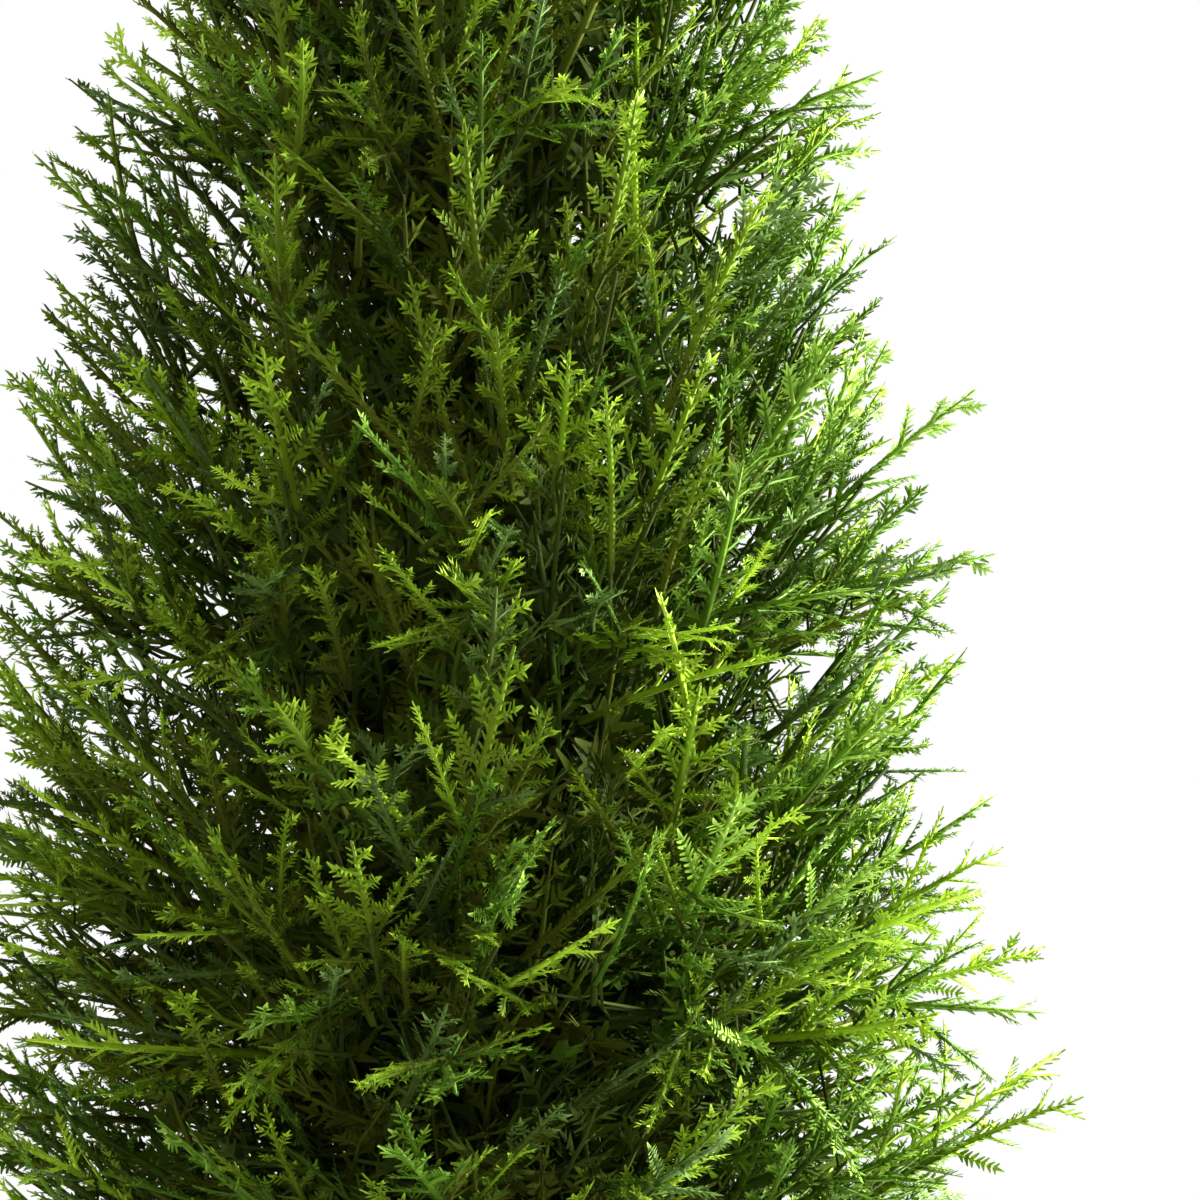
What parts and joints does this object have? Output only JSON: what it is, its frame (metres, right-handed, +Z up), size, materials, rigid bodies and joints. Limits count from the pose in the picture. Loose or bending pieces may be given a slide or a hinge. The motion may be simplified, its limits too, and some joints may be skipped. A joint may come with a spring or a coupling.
{
  "type": "potted artificial cypress tree",
  "caption": "Tall narrow cone of moulded green conifer sprays on a thin trunk with short boughs, standing in a plain tapered round pot with a dark filling.",
  "frame": {"origin": "centre of the pot's flat underside, on the ground", "axes": "+Z up along the trunk to the crown's tip, +Y away from the picture's viewer, +X to the viewer's right"},
  "size_m": [0.4985, 0.4865, 1.52],
  "materials": {
    "pot": "satin black plastic",
    "filling": "rough dark cement filling",
    "bark": "rough brown bark",
    "deep_green": "satin moulded foliage",
    "leaf_green": "satin moulded foliage",
    "fresh_green": "satin moulded foliage"
  },
  "bodies": {
    "root": {"pot": "pot", "pot_filling": "filling", "trunk": "bark", "skirt_bough_1": "bark", "skirt_foliage_1": "leaf_green", "skirt_bough_2": "bark", "skirt_foliage_2": "fresh_green", "skirt_bough_3": "bark", "skirt_foliage_3": "deep_green", "skirt_bough_4": "bark", "skirt_foliage_4": "leaf_green", "skirt_bough_5": "bark", "skirt_foliage_5": "fresh_green", "low_bough_1": "bark", "low_foliage_1": "deep_green", "low_bough_2": "bark", "low_foliage_2": "leaf_green", "low_bough_3": "bark", "low_foliage_3": "fresh_green", "low_bough_4": "bark", "low_foliage_4": "deep_green", "low_bough_5": "bark", "low_foliage_5": "leaf_green", "middle_bough_1": "bark", "middle_foliage_1": "fresh_green", "middle_bough_2": "bark", "middle_foliage_2": "deep_green", "middle_bough_3": "bark", "middle_foliage_3": "leaf_green", "middle_bough_4": "bark", "middle_foliage_4": "fresh_green", "middle_bough_5": "bark", "middle_foliage_5": "deep_green", "upper_bough_1": "bark", "upper_foliage_1": "leaf_green", "upper_bough_2": "bark", "upper_foliage_2": "fresh_green", "upper_bough_3": "bark", "upper_foliage_3": "deep_green", "upper_bough_4": "bark", "upper_foliage_4": "leaf_green", "high_bough_1": "bark", "high_foliage_1": "fresh_green", "high_bough_2": "bark", "high_foliage_2": "deep_green", "high_bough_3": "bark", "high_foliage_3": "leaf_green", "top_foliage": "fresh_green"}
  },
  "joints": []
}
